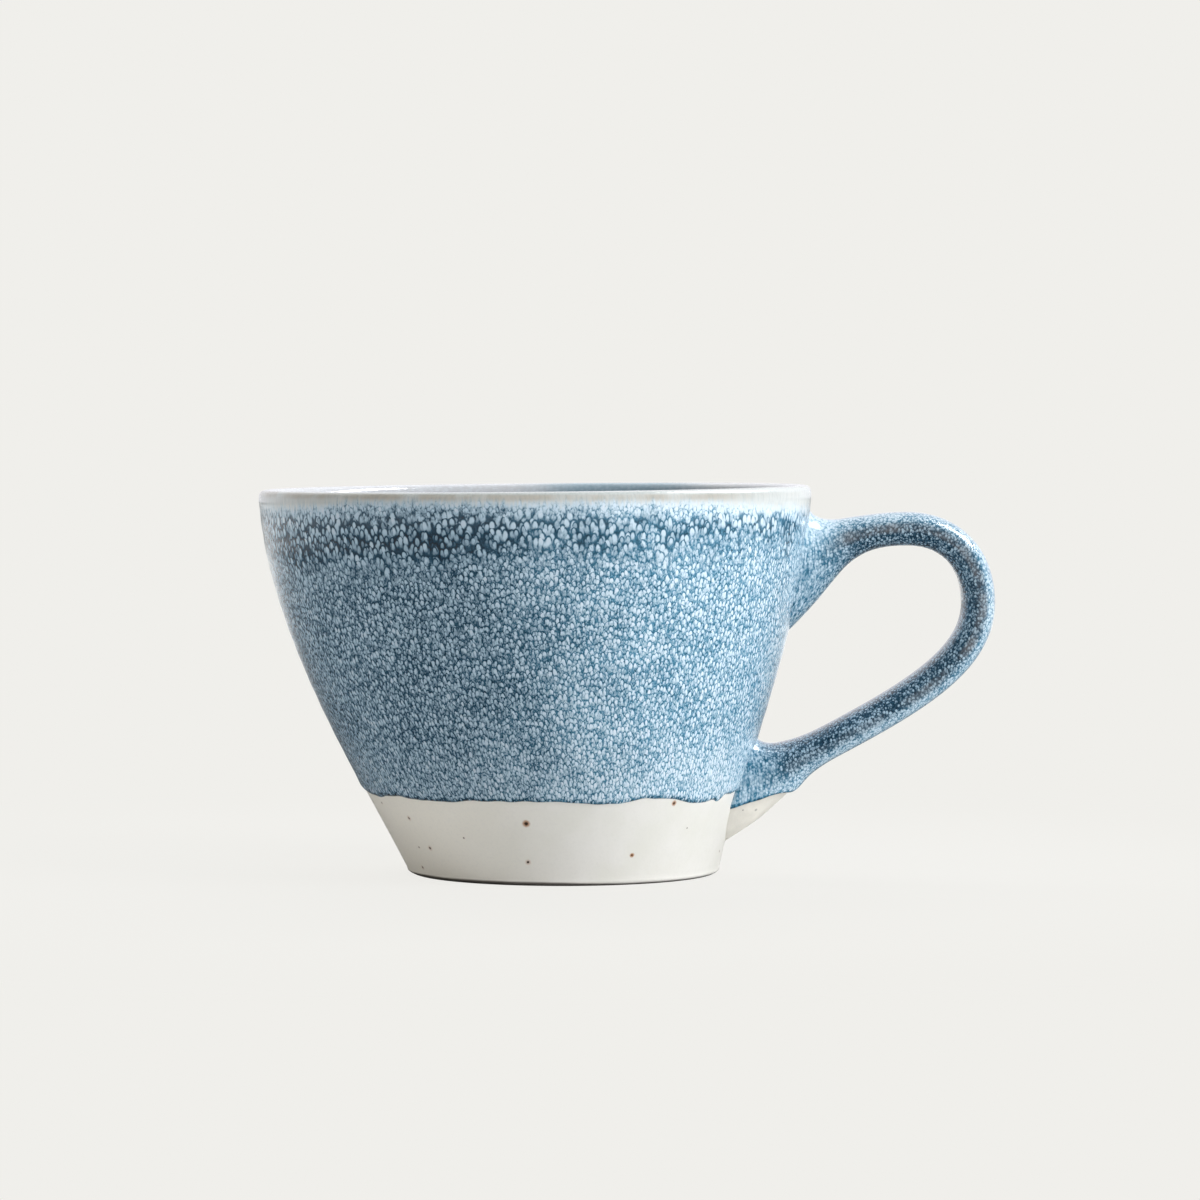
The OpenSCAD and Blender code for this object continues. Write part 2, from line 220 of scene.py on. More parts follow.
def level_t(form, z, t):
    """Level thickness of a coat that is t thick square to the wall at height z."""
    slope = (clay_r(form, z) - clay_r(form, z - 0.5 * MM)) / (0.5 * MM)
    return t * math.sqrt(1 + slope * slope)


def centre_x(form, z):
    """Middle of the cup at height z: the axis curves away from the handle."""
    return -form.lean * (1 - (1 - z / form.cup_h) ** 2)


def rise(form, z):
    """Rise of a point at height z towards the handle, for a rim a little out of level."""
    return form.rim_rise / 2 * (max(z, 0.0) / form.cup_h) ** 3


# Small runs and lifts of the glaze line: degrees round the cup, height and width in millimetres
LINE_RUNS = [
    (-135, -0.45, 5.0),
    (-125, -0.2, 4.0),
    (-106, -0.05, 4.0),
    (-91, 0.4, 5.0),
    (-71, -0.75, 3.5),
    (-57, 0.15, 3.0),
    (-38, -1.5, 5.5),
    (-29, -1.2, 1.6),
    (-12, 0.5, 3.5),
    (28, 1.1, 6.0),
    (64, -0.8, 4.0),
    (103, 0.6, 5.0),
    (150, -0.6, 6.0),
]


# In millimetres: radius of the glaze line, how fast its fine waves come round and their height, and
# how far the whole line lies below the height that is set for it
LINE_R = 37
FINE_TURN, FINE_H = 11, 0.35
LET_DOWN = 0.55


def line_shift(form, a):
    """How far the glaze line stands above its set height at angle a."""
    wave = form.line_wave * (math.sin(5 * a) + math.sin(10 * a + math.radians(40))) / 2
    dip = form.line_dip * (math.cos(a) - 1) / 2
    runs = 0.0
    for degrees, height, width in LINE_RUNS:
        apart = math.remainder(a - math.radians(degrees), 2 * math.pi) * LINE_R
        runs += height * math.exp(-((apart / width) ** 2))
    around = Vector((FINE_TURN * math.cos(a), FINE_TURN * math.sin(a), 3.7))
    fine = noise.noise(around) * FINE_H
    return wave + dip + (runs + fine - LET_DOWN) * MM


def set_out(form, v, r, outside, carries_line):
    """Sets a spun point out round the leaning axis, with the wave of the glaze line."""
    a, z = math.atan2(v.co.y, v.co.x), v.co.z
    if carries_line and outside:
        part = (z - form.glaze_line) / (form.cup_h - form.lip_lap - form.glaze_line)
        hold = max(1 - part, 0.0) ** 6 if part > 0 else max(z, 0.0) / form.glaze_line
        up = hold * line_shift(form, a)
        r += clay_r(form, z + up) - clay_r(form, z)
        z += up
    v.co = (centre_x(form, z) + r * math.cos(a), r * math.sin(a), z + rise(form, z) * math.cos(a))


def wall_x(form, y, z):
    """Clay surface on the handle side, at y across and z up."""
    level = z - rise(form, z)
    return centre_x(form, level) + math.sqrt(clay_r(form, level) ** 2 - y * y)


# Meshes


SPIN_STEPS = 96

# Throwing ridges: height in millimetres, and radians of their wave to the millimetre
RIDGE_H, RIDGE_TURN = 0.035, 1.15

# Powers that square the lip's outer corner and its inner one, the lower the more
LIP_OUTER, LIP_INNER = 0.62, 0.9

# Radii of the corners at the recess and at the inside of the foot ring
RECESS_ROUND, RING_ROUND = 0.5 * MM, 0.4 * MM

# Beads at the edges of the glaze: millimetres over the edge, and the coat there as a share of its
# full thickness
CUP_BEAD = [(0.03, 0.34), (0.1, 0.58), (0.22, 0.8), (0.4, 1.0), (0.65, 1.13), (1.0, 1.2),
            (1.5, 1.16), (2.2, 1.07), (3.1, 1.0)]
HANDLE_BEAD = [(0, 0.12), (0.08, 0.5), (0.2, 0.76), (0.38, 0.98), (0.62, 1.12), (0.95, 1.18),
               (1.4, 1.12), (2.0, 1.05), (3.0, 1.0)]


def heights(first, last, steps):
    """Heights on the way from the first to the last in equal steps, without the first itself."""
    return [between(first, last, k / steps) for k in range(1, steps + 1)]


def quarter(steps):
    """Sines and cosines on the way round a quarter of a circle."""
    turns = [math.pi / 2 * k / steps for k in range(steps + 1)]
    return [(math.sin(a), math.cos(a)) for a in turns]


def spun(profile, cuts, closed):
    """A skin turned from a profile of (radius, height) points, closed in a loop or at the axis.

    The rings are cut finer after the turn, and the layer "turned" keeps each point's radius.
    """
    bm = bmesh.new()
    points = [bm.verts.new((r, 0, z)) for r, z in profile]
    lines = [bm.edges.new(pair) for pair in zip(points, points[1:])]
    if closed:
        lines.append(bm.edges.new((points[-1], points[0])))
    bmesh.ops.spin(
        bm, geom=points + lines, cent=(0, 0, 0), axis=(0, 0, 1), angle=2 * math.pi,
        steps=SPIN_STEPS, use_merge=True,
    )
    bmesh.ops.remove_doubles(bm, verts=bm.verts[:], dist=1e-7)
    turned = bm.verts.layers.float.new("turned")
    for v in bm.verts:
        v[turned] = math.hypot(v.co.x, v.co.y)
    level = [e for e in bm.edges if abs(e.verts[0].co.z - e.verts[1].co.z) < 1e-7
             and abs(e.verts[0][turned] - e.verts[1][turned]) < 1e-7]
    bmesh.ops.subdivide_edges(bm, edges=level, cuts=cuts, use_grid_fill=True)
    bmesh.ops.recalc_face_normals(bm, faces=bm.faces[:])
    return bm, turned


def finished(bm, name, material, nodes):
    """Makes an object of a bmesh: smooth, riding on the mug and standing for its CAD nodes."""
    for face in bm.faces:
        face.smooth = True
    mesh = bpy.data.meshes.new(name)
    bm.to_mesh(mesh)
    bm.free()
    piece = bpy.data.objects.new(name, mesh)
    bpy.context.scene.collection.objects.link(piece)
    piece.data.materials.append(material)
    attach(piece, "root")
    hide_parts(*nodes)
    return piece


def lip_points(form, t, turns):
    """Profile points over the lip, a coat t thick, from the outside to the inside.

    The outer corner of the lip is tighter than the inner one.
    """
    lip_r = form.wall_t / 2
    z = form.cup_h - form.liner_t - lip_r
    x = clay_r(form, z) - lip_r
    points = []
    for k in range(turns + 1):
        a = math.pi * k / turns
        square = LIP_OUTER if 2 * k < turns else LIP_INNER
        points.append((x + (lip_r + t) * filled(math.cos(a), square),
                       z + (lip_r + t) * filled(math.sin(a), square)))
    return points


def inner_points(form, t, rings, turns):
    """Profile points from under the lip down the inside to the axis."""
    lip_z = form.cup_h - form.liner_t - form.wall_t / 2
    floor_z = form.recess_h + form.floor_t
    heel_z = floor_z + form.heel_r
    points = []
    for z in heights(lip_z, heel_z, rings):
        points.append((clay_r(form, z) + level_t(form, z, -form.wall_t - t), z))
    heel_x = points[-1][0] - form.heel_r
    for down, out in quarter(turns)[1:]:
        points.append((heel_x + form.heel_r * out, heel_z - (form.heel_r - t) * down))
    for part in (0.8, 0.6, 0.4, 0.2, 0):
        points.append((heel_x * part, floor_z + t))
    return points


def throwing_lines(z):
    """Faint ridges left by the fingers that drew up the wall."""
    return RIDGE_H * MM * math.sin(z / MM * RIDGE_TURN) * eased(z, 20 * MM, 30 * MM)


class MUG_OT_clay_cup(bpy.types.Operator):
    """Turns the clay of the cup: foot ring, recess, wall, lip and floor"""

    bl_idname = "mug.clay_cup"
    bl_label = "Clay Cup"

    def execute(self, context):
        form = context.scene.mug_form
        corner_r = clay_r(form, form.foot_round) - form.foot_round
        ring_r = form.foot_d / 2 - form.pale_t - form.ring_w
        slope_r = ring_r - form.recess_slope
        profile = [(slope_r * part, form.recess_h) for part in (0, 0.35, 0.7)]
        for out, up in quarter(6):
            profile.append((slope_r - RECESS_ROUND + RECESS_ROUND * out,
                            form.recess_h - RECESS_ROUND * (1 - up)))
        for down, back in quarter(6):
            profile.append((ring_r + RING_ROUND * (1 - back), RING_ROUND * (1 - down)))
        profile.append((between(ring_r, corner_r, 0.6), 0))
        for out, down in quarter(8):
            profile.append((corner_r + form.foot_round * out, form.foot_round * (1 - down)))
        lap = form.cup_h - form.lip_lap
        for z in heights(form.foot_round, lap, 30):
            profile.append((clay_r(form, z), z))
        profile += lip_points(form, 0, 8) + inner_points(form, 0, 20, 8)
        bm, turned = spun(profile, 1, False)
        for v in bm.verts:
            set_out(form, v, v[turned], False, False)
        finished(bm, "clay_cup", clay_finish(context), ["cup_body"])
        return {"FINISHED"}


class MUG_OT_glazed_cup(bpy.types.Operator):
    """Coats the wall, the lip and the inside in the reactive glaze, as one skin with a thickness"""

    bl_idname = "mug.glazed_cup"
    bl_label = "Glazed Cup"

    def execute(self, context):
        form = context.scene.mug_form
        lap = form.cup_h - form.lip_lap
        clay_side = inner_points(form, 0, 12, 6)[::-1] + lip_points(form, 0, 8)[::-1]
        for z in heights(lap, form.glaze_line, 12):
            clay_side.append((clay_r(form, z), z))
        coat = []
        for up, part in CUP_BEAD:
            z = form.glaze_line + up * MM
            coat.append((clay_r(form, z) + level_t(form, z, part * form.glaze_t), z))
        top_of_bead = form.glaze_line + CUP_BEAD[-1][0] * MM
        for z in heights(top_of_bead, lap, 70):
            t = between(form.glaze_t, form.liner_t, eased(z, lap - 12 * MM, lap))
            coat.append((clay_r(form, z) + level_t(form, z, t) + throwing_lines(z), z))
        coat += lip_points(form, form.liner_t, 16) + inner_points(form, form.liner_t, 60, 16)
        bm, turned = spun(clay_side + coat, 3, False)
        inside = bm.verts.layers.float.new("inside")
        above_edge = bm.verts.layers.float.new("above_edge")
        for v in bm.verts:
            r, z = v[turned], v.co.z
            outside = r > clay_r(form, z) - form.wall_t / 2
            v[inside] = 0.0 if outside else 1.0
            v[above_edge] = z - form.glaze_line if outside else 50 * MM
            set_out(form, v, r, outside, True)
        finished(bm, "glazed_cup", reactive_finish(context), ["wall_glaze", "liner_glaze"])
        return {"FINISHED"}


class MUG_OT_pale_base(bpy.types.Operator):
    """Coats the base in the pale satin glaze, thinning out round the corner of the foot"""

    bl_idname = "mug.pale_base"
    bl_label = "Pale Base"

    def execute(self, context):
        form = context.scene.mug_form
        corner_r = clay_r(form, form.foot_round) - form.foot_round
        outer, inner = [], []
        for k in range(9):
            a = math.radians(between(38, 90, k / 8))
            reach = form.foot_round + form.pale_t * eased(k / 8, -0.15, 0.7)
            outer.append((corner_r + reach * math.sin(a), form.foot_round - reach * math.cos(a)))
            inner.append((corner_r + form.foot_round * math.sin(a),
                          form.foot_round * (1 - math.cos(a))))
        top = form.glaze_line + 0.6 * MM
        for z in heights(form.foot_round, top, 24):
            t = form.pale_t * (1 - 0.7 * eased(z, form.glaze_line - 0.2 * MM, top))
            outer.append((clay_r(form, z) + level_t(form, z, t), z))
            inner.append((clay_r(form, z), z))
        bm, turned = spun(outer + inner[::-1], 2, True)
        for v in bm.verts:
            set_out(form, v, v[turned], True, True)
        finished(bm, "pale_base", pale_finish(context), ["base_glaze"])
        return {"FINISHED"}


# The strap of the handle


# Where the corners of the strap's three curves stand, as shares of each curve's run
UPPER_PULL, CROWN_PULL, ROUND_PULL, DROP_PULL, TAIL_PULL = 0.35, 0.45, 0.61, 0.4, 0.6

RING_SIDES = 56

# How far the clay's ends go into the wall
LET_IN = 1.2 * MM


def on_curve(corners, t):
    """Point at a share of the way along a curve with four corners."""
    u = 1 - t
    a, b, c, d = corners
    return u * u * u * a + 3 * u * u * t * b + 3 * u * t * t * c + t * t * t * d


def along_curve(corners, t):
    """Direction there."""
    u = 1 - t
    a, b, c, d = corners
    return (u * u * (b - a) + 2 * u * t * (c - b) + t * t * (d - c)).normalized()


def strap_route(form, strap):
    """The strap's middle line: three curves end to end, in the plane of the handle."""
    upper_h = form.cup_h - strap.upper_drop
    upper = Vector((wall_x(form, 0, upper_h), upper_h))
    lower = Vector((wall_x(form, 0, strap.lower_h), strap.lower_h))
    crown = upper + Vector((strap.crown_out, strap.upper_drop - strap.crown_drop))
    bend = upper + Vector((strap.handle_out, strap.upper_drop - strap.reach_drop))
    climb = Vector((math.cos(strap.upper_climb), math.sin(strap.upper_climb)))
    fall = Vector((math.cos(strap.tail_fall), math.sin(strap.tail_fall)))
    return [
        (upper, upper + UPPER_PULL * strap.crown_out * climb,
         crown - Vector((CROWN_PULL * strap.crown_out, 0)), crown),
        (crown, crown + Vector((ROUND_PULL * (bend.x - crown.x), 0)),
         bend + Vector((0, ROUND_PULL * (crown.y - bend.y))), bend),
        (bend, bend - Vector((0, DROP_PULL * (bend.y - strap.lower_h))),
         lower + TAIL_PULL * (bend.x - lower.x) * fall, lower),
    ]


def fading(d, reach, power):
    """What is left at distance d from the wall of something that fades out over a reach."""
    return (1 - d / reach) ** power if d < reach else 0.0


def filled(v, power):
    """A point of a round section, its cosine or sine, filled out: the lower the power, the more."""
    return math.copysign(abs(v) ** power, v)


class StrapRing:
    """One ring of the strap, with its wiped slip, at a place on the route."""

    def __init__(self, form, strap, route, curve, t):
        self.form = form
        self.strap = strap
        self.upper = curve < 2
        self.seat = route[0][0] if self.upper else route[2][3]
        self.at = on_curve(route[curve], t)
        along = along_curve(route[curve], t)
        self.d = max(self.at.x - self.seat.x, 0.0)
        self.turn = fading(self.d, strap.flare / 2, 1)
        square = Vector((-along.y, along.x))
        upright = Vector((0, 1 if self.upper else -1))
        self.lift = ((1 - self.turn) * square + self.turn * upright).normalized()

    def point(self, a, coat):
        """The ring's point at angle a, a coat thick outside the clay and slip."""
        strap = self.strap
        end_h, end_w = strap.lower_end_h, strap.lower_end_w
        wiped, side = strap.lower_slip_reach, strap.slip_side
        above, below = strap.lower_slip_low, strap.lower_slip_top
        tuck = strap.tuck * fading(self.d, strap.tuck_reach, 1)
        if self.upper:
            tuck = 0.0
            end_h, end_w, wiped = strap.upper_end_h, strap.upper_end_w, strap.upper_slip_reach
            above, below = strap.upper_slip_top, strap.upper_slip_low
        swell = fading(self.d, strap.flare, 3)
        wipe = fading(self.d, wiped, 2)
        half_t = between(strap.strap_t, end_h, swell) / 2 + coat
        half_w = between(strap.strap_w, end_w, swell) / 2 + coat
        c = filled(math.cos(a), strap.section_share)
        y = -filled(math.sin(a), strap.section_share) * (half_w + wipe * side)
        reach = half_t + ((wipe - tuck) * above if c > 0 else wipe * below)
        p = self.at + c * reach * self.lift
        x = p.x + self.turn * (wall_x(self.form, y, p.y) - self.seat.x)
        return Vector((x, y, p.y))


def strap_tube(form, strap):
    """The strap with its slip, as an open tube from wall to wall, and the way out of each point.

    Each ring is drawn out of the last one and shaped. The layers keep the coat's direction, 1
    outside the loop to -1 inside it, and the distance from the wall.
    """
    route = strap_route(form, strap)
    places = [(0, (k / 26) ** 1.5) for k in range(26)]
    places += [(1, k / 22) for k in range(22)]
    places += [(2, 1 - (1 - k / 44) ** 1.2) for k in range(45)]
    bm = bmesh.new()
    coat = bm.verts.layers.float_vector.new("coat")
    outer = bm.verts.layers.float.new("outer")
    root = bm.verts.layers.float.new("root")
    made = bmesh.ops.create_circle(bm, cap_ends=False, radius=1, segments=RING_SIDES)
    ring = made["verts"]
    angles = [2 * math.pi * (k + 0.5) / RING_SIDES for k in range(RING_SIDES)]
    for n, (curve, t) in enumerate(places):
        if n:
            edges = [bm.edges.get((ring[k - 1], ring[k])) for k in range(RING_SIDES)]
            grown = bmesh.ops.extrude_edge_only(bm, edges=edges)["geom"]
            fresh = {v for v in grown if isinstance(v, bmesh.types.BMVert)}
            step = []
            for v in ring:
                step.append(next(e.other_vert(v) for e in v.link_edges if e.other_vert(v) in fresh))
            ring = step
        shape = StrapRing(form, strap, route, curve, t)
        for v, a in zip(ring, angles):
            bare = shape.point(a, 0)
            v.co = bare
            v[coat] = shape.point(a, form.handle_glaze_t) - bare
            v[outer] = math.cos(a)
            v[root] = shape.d
    bmesh.ops.recalc_face_normals(bm, faces=bm.faces[:])
    return bm


def open_loops(bm):
    """The loops of open edges, each as a list of its edges."""
    left = {e for e in bm.edges if e.is_boundary}
    loops = []
    while left:
        loop = [left.pop()]
        ends = set(loop[0].verts)
        while True:
            more = [e for e in left if e.verts[0] in ends or e.verts[1] in ends]
            if not more:
                break
            for e in more:
                left.discard(e)
                loop.append(e)
                ends |= set(e.verts)
        loops.append(loop)
    return loops


class MUG_OT_clay_strap(bpy.types.Operator):
    """Pulls the clay strap with its luting slip, both ends let into the wall"""

    bl_idname = "mug.clay_strap"
    bl_label = "Clay Strap"

    def execute(self, context):
        form, strap = context.scene.mug_form, context.scene.mug_strap
        bm = strap_tube(form, strap)
        for loop in open_loops(bm):
            grown = bmesh.ops.extrude_edge_only(bm, edges=loop)["geom"]
            fresh = [v for v in grown if isinstance(v, bmesh.types.BMVert)]
            bmesh.ops.translate(bm, verts=fresh, vec=(-LET_IN, 0, 0))
        for loop in open_loops(bm):
            bmesh.ops.holes_fill(bm, edges=loop, sides=0)
        bmesh.ops.recalc_face_normals(bm, faces=bm.faces[:])
        finished(bm, "clay_strap", clay_finish(context),
                 ["handle", "upper_luting", "lower_luting"])
        return {"FINISHED"}


class MUG_OT_glazed_handle(bpy.types.Operator):
    """Coats the handle in the reactive glaze, which stops in a bead above the bare tail"""

    bl_idname = "mug.glazed_handle"
    bl_label = "Glazed Handle"

    def execute(self, context):
        form, strap = context.scene.mug_form, context.scene.mug_strap
        seat_x = wall_x(form, 0, strap.lower_h)
        slope = strap.tail_line_slope
        bm = strap_tube(form, strap)
        square = Vector((-slope, 0, 1)).normalized()
        foot = Vector((seat_x, 0, strap.tail_line_h))
        for up, _ in HANDLE_BEAD[:-1]:
            bmesh.ops.bisect_plane(
                bm, geom=bm.verts[:] + bm.edges[:] + bm.faces[:], dist=1e-6,
                plane_co=foot + square * up * MM, plane_no=square, clear_inner=up == 0,
            )
        coat = bm.verts.layers.float_vector["coat"]
        above_edge = bm.verts.layers.float.new("above_edge")
        loose = [v for v in bm.verts if not v.link_faces]
        bmesh.ops.delete(bm, geom=loose, context="VERTS")
        kept = bm.verts[:] + bm.edges[:] + bm.faces[:]
        copy = bmesh.ops.duplicate(bm, geom=kept)["geom"]
        under = [f for f in copy if isinstance(f, bmesh.types.BMFace)]
        bmesh.ops.reverse_faces(bm, faces=under)
        under_verts = {v for v in copy if isinstance(v, bmesh.types.BMVert)}
        for v in bm.verts:
            up = max((v.co - foot).dot(square), 0.0)
            v[above_edge] = up
            # The edge wanders a little and hangs in its drip, and both fade out above it
            ripple = 0.22 * MM * noise.noise(Vector((v.co.x, v.co.y, 7)) / MM * 0.3)
            hold = 1 - eased(up, 0.3 * MM, 3 * MM)
            sideways = abs(v[coat].y) / form.handle_glaze_t
            apart = (v.co.x - seat_x - strap.drip_out) / (2.2 * MM)
            hang = strap.drip * math.exp(-apart * apart) * sideways
            v.co += Vector((0, 0, (ripple - hang) * hold))
            if v in under_verts:
                v.co += v[coat] * -0.02
            else:
                v.co += v[coat] * bead_share(up / MM)
        pairs = open_loops(bm)
        pairs.sort(key=lambda loop: sum(e.verts[0].co.z for e in loop) / len(loop))
        bmesh.ops.bridge_loops(bm, edges=pairs[0] + pairs[1])
        bmesh.ops.bridge_loops(bm, edges=pairs[2] + pairs[3])
        bmesh.ops.recalc_face_normals(bm, faces=bm.faces[:])
        finished(bm, "glazed_handle", handle_finish(context), ["handle_glaze"])
        return {"FINISHED"}


def bead_share(up):
    """Coat of glaze at so many millimetres over its edge, as a share of its full thickness."""
    for (low, a), (high, b) in zip(HANDLE_BEAD, HANDLE_BEAD[1:]):
        if up < high:
            return between(a, b, max(up - low, 0) / (high - low))
    return 1.0


# Finishes


class Wire:
    """An output of a node, on which sums add their own Math nodes."""

    def __init__(self, finish, socket):
        self.finish = finish
        self.socket = socket

    def sum(self, operation, first, second):
        return self.finish.node("ShaderNodeMath", {"operation": operation}, {0: first, 1: second})

    def __add__(self, other):
        return self.sum("ADD", self, other)

    def __radd__(self, other):
        return self.sum("ADD", other, self)

    def __sub__(self, other):
        return self.sum("SUBTRACT", self, other)

    def __rsub__(self, other):
        return self.sum("SUBTRACT", other, self)

    def __mul__(self, other):
        return self.sum("MULTIPLY", self, other)

    def __rmul__(self, other):
        return self.sum("MULTIPLY", other, self)

    def __truediv__(self, other):
        return self.sum("DIVIDE", self, other)

    def __pow__(self, other):
        return self.sum("POWER", self, other)


class Finish:
    """A material, or the world, under construction."""

    def __init__(self, owner):
        self.owner = owner
        owner.use_nodes = True
        self.tree = owner.node_tree
        self.tree.nodes.clear()

    def node(self, kind, settings=None, sockets=None, output=0):
        """Adds a node: first its settings, then the values or links of its sockets."""
        node = self.tree.nodes.new(kind)
        for key, value in (settings or {}).items():
            if key == "stops":
                ramp = node.color_ramp.elements
                while len(ramp) < len(value):
                    ramp.new(0.5)
                for element, (place, shade) in zip(ramp, value):
                    element.position = place
                    element.color = (*shade, 1)
            else:
                setattr(node, key, value)
        for key, value in (sockets or {}).items():
            if isinstance(value, Wire):
                self.tree.links.new(value.socket, node.inputs[key])
            else:
                node.inputs[key].default_value = value
        return Wire(self, node.outputs[output]) if node.outputs else None

    def place(self, size=(1, 1, 1), shift=(0, 0, 0)):
        """The piece's own coordinates in millimetres, stretched and shifted."""
        at = self.node("ShaderNodeTexCoord", output="Object")
        scale = [part / MM for part in size]
        return self.node("ShaderNodeMapping", {}, {"Vector": at, "Location": shift, "Scale": scale})

    def axes(self, vector):
        """The three parts of a vector."""
        split = self.node("ShaderNodeSeparateXYZ", {}, {0: vector})
        outputs = split.socket.node.outputs
        return [Wire(self, outputs[k]) for k in range(3)]

    def attribute(self, name):
        """A number that the mesh keeps at its points."""
        settings = {"attribute_type": "GEOMETRY", "attribute_name": name}
        return self.node("ShaderNodeAttribute", settings, output="Fac")

    def step(self, value, low, high):
        """0 where value is at low and 1 where it is at high, smooth between."""
        return self.node(
            "ShaderNodeMapRange", {"interpolation_type": "SMOOTHSTEP"}, {0: value, 1: low, 2: high}
        )

    def mix(self, part, a, b):
        """A colour part of the way from a to b."""
        ready = [x if isinstance(x, Wire) else (*x, 1) for x in (a, b)]
        return self.node(
            "ShaderNodeMix", {"data_type": "RGBA"}, {0: part, 6: ready[0], 7: ready[1]}, output=2
        )

    def ramp(self, value, *stops):
        """Colour that a number has on a ramp of (place, colour) stops."""
        return self.node("ShaderNodeValToRGB", {"stops": stops}, {0: value})

    def vector(self, operation, *inputs, output=0):
        """Adds a Vector Math node. Its output 1 is the number, as of a length or distance."""
        sockets = dict(enumerate(inputs))
        return self.node("ShaderNodeVectorMath", {"operation": operation}, sockets, output)

    def rays(self):
        """1 for what the camera sees, and 1 for what the gloss shows."""
        camera_ray = self.node("ShaderNodeLightPath")
        return camera_ray, Wire(self, camera_ray.socket.node.outputs["Is Glossy Ray"])

    def blur(self, vector, size, detail=2.0, rough=0.5):
        """Cloudy noise whose patches are about size millimetres across."""
        return self.node(
            "ShaderNodeTexNoise", {},
            {"Vector": vector, "Scale": 1 / size, "Detail": detail, "Roughness": rough},
        )

    def cells(self, vector, size, dimensions="3D"):
        """Scattered cells about size millimetres across.

        Gives the distance to the nearest middle, a chance for that cell, and where its middle is.
        """
        settings = {"voronoi_dimensions": dimensions}
        dots = self.node("ShaderNodeTexVoronoi", settings, {"Vector": vector, "Scale": 1 / size})
        outputs = dots.socket.node.outputs
        chance = self.node("ShaderNodeSeparateColor", {}, {0: Wire(self, outputs["Color"])})
        return dots, chance, Wire(self, outputs["Position"])

    def warped(self, vector, size, push):
        """Coordinates pushed about by noise."""
        clouds = self.blur(vector, size, 1.0)
        shade = Wire(self, clouds.socket.node.outputs["Color"])
        centred = self.vector("SUBTRACT", shade, (0.5, 0.5, 0.5))
        return self.vector("ADD", vector, self.vector("MULTIPLY", centred, (push, push, push)))

    def done(self, height=None, depth=0.0, **sockets):
        """Closes the material with its shader, and a bump of that height where there is one."""
        named = {key.replace("_", " ").title(): value for key, value in sockets.items()}
        if "Ior" in named:
            named["IOR"] = named.pop("Ior")
        if height is not None:
            named["Normal"] = self.node(
                "ShaderNodeBump", {}, {"Height": height, "Strength": 1.0, "Distance": depth}
            )
        shader = self.node("ShaderNodeBsdfPrincipled", {}, named)
        self.node("ShaderNodeOutputMaterial", {}, {"Surface": shader})
        return self.owner


# Place of the rusty speck on the bare tail, in millimetres
TAIL_SPECK = (39.4, -6.9, 13.2)


def clay_finish(context):
    """Bare fired clay: warm, matt and a little sandy, with a painted contact shadow at the foot's
    outer corner.
    """
    form = context.scene.mug_form
    colours = context.scene.mug_colours
    finish = Finish(bpy.data.materials.new("bare_clay"))
    place = finish.place()
    sand = finish.blur(place, 0.35, 3.0, 0.6)
    cloud = finish.blur(place, 6, 3.0, 0.5)
    light = [min(part * 1.22, 1) for part in colours.clay]
    tone = finish.mix(finish.step(cloud, 0.3, 0.7), colours.clay, light)
    dots, chance, _ = finish.cells(place, 1.6)
    fleck = finish.step(dots, 0.16, 0.1) * finish.step(chance, 0.8, 0.82)
    tone = finish.mix(fleck * 0.7, tone, colours.iron)
    away = finish.vector("DISTANCE", place, TAIL_SPECK, output=1)
    tone = finish.mix(finish.step(away, 0.5, 0.2) * 0.6, tone, colours.speck_and_reflection)
    # Painted contact shadow: only the foot's outer corner is darkened, not the face that it stands
    # on
    x, y, z = finish.axes(place)
    out = (x * x + y * y) ** 0.5
    corner = (form.foot_d / 2 - form.foot_round) / MM
    corner_shadow = finish.step(z, 0.7, 0.3) * finish.step(out, corner - 0.3, corner + 0.3)
    tone = finish.mix(corner_shadow * 0.9, tone, colours.contact_shadow)
    return finish.done(sand, 0.06 * MM, base_color=tone, roughness=0.72)


# Iron specks on the base: degrees round the cup, height and radius in millimetres, how rusty
SPECKS = [
    (-157.2, 15.4, 0.2, 0.3),
    (-143.0, 12.9, 0.3, 0.35),
    (-145.5, 6.8, 0.2, 0.2),
    (-139.0, 6.9, 0.32, 0.3),
    (-121.5, 9.6, 0.2, 0.1),
    (-150.0, 2.4, 0.26, 0.35),
    (-98.6, 13.0, 0.4, 0.9),
    (-100.7, 5.0, 0.3, 0.4),
    (-64.4, 6.2, 0.24, 1.0),
    (-50.3, 16.5, 0.3, 0.9),
    (-42.7, 11.1, 0.15, 0.1),
    (-14.0, 5.0, 0.2, 0.3),
    (22.0, 11.5, 0.25, 0.4),
    (47.0, 4.5, 0.32, 0.6),
    (71.0, 14.0, 0.22, 0.2),
    (96.0, 8.5, 0.36, 0.8),
    (118.0, 3.8, 0.24, 0.3),
    (139.0, 12.2, 0.28, 0.5),
    (166.0, 7.4, 0.22, 0.3),
]


